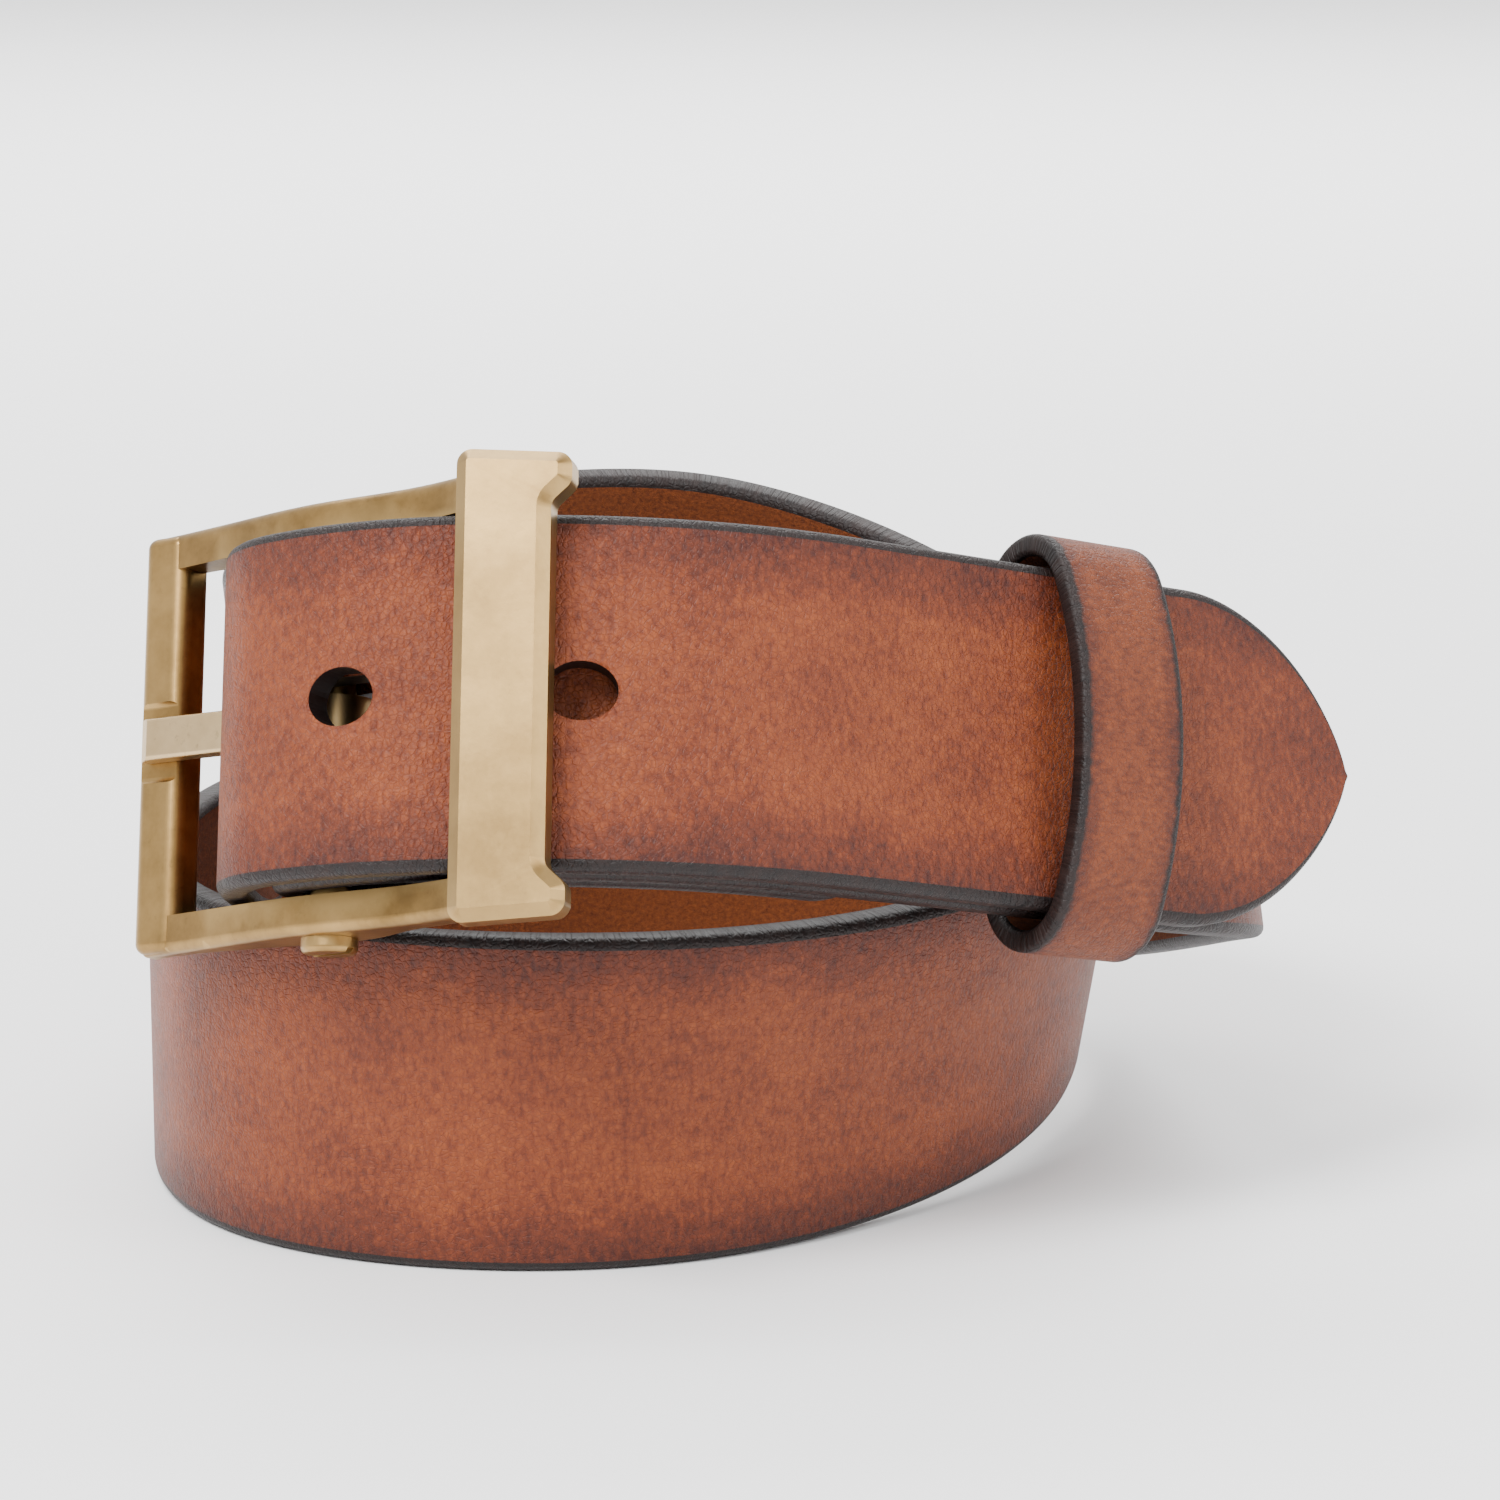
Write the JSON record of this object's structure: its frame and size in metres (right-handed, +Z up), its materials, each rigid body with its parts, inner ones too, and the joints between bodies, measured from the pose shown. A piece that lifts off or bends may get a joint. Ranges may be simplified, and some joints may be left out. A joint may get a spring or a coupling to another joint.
{
  "type": "leather_belt",
  "caption": "Tan leather belt stood on edge in a coil, with an antique brass centre-bar buckle, a leather keeper loop and a pointed, holed tip",
  "frame": {"origin": "on the floor under the middle of the coil's bounding box", "axes": "+Z up, +X to the right along the front of the coil towards the tip, -Y towards the viewer of the buckle"},
  "size_m": [0.1396, 0.1656, 0.0916],
  "materials": {
    "strap_leather": "oiled full-grain, burnished dark edges",
    "antique_brass": "aged, brushed",
    "prong_brass": "worn, polished"
  },
  "bodies": {
    "strap_body": {"strap": "strap_leather", "fold_screw_post_1": "antique_brass", "fold_screw_post_2": "antique_brass", "fold_screw_1": "antique_brass", "fold_screw_2": "antique_brass"},
    "buckle": {"buckle_frame": "antique_brass", "centre_bar": "antique_brass", "bar_screw": "antique_brass"},
    "prong_body": {"prong": "prong_brass"},
    "keeper_body": {"keeper": "strap_leather", "keeper_staple_1": "antique_brass", "keeper_staple_2": "antique_brass"}
  },
  "joints": [
    {"name": "buckle_rock", "type": "hinge", "parent": "strap_body", "child": "buckle", "pos_m": [-0.04345, -0.05089, 0.06027], "axis": [0.0105, 0.3665, 0.9304], "range_deg": [-3, 0]},
    {"name": "prong_swing", "type": "hinge", "parent": "buckle", "child": "prong_body", "pos_m": [-0.04345, -0.05089, 0.06027], "axis": [0.0105, 0.3665, 0.9304], "range_deg": [0, 3]},
    {"name": "keeper_slide", "type": "slide", "parent": "strap_body", "child": "keeper_body", "axis": [0.8364, 0.5067, -0.209], "range_m": [-0.014, 0]}
  ]
}
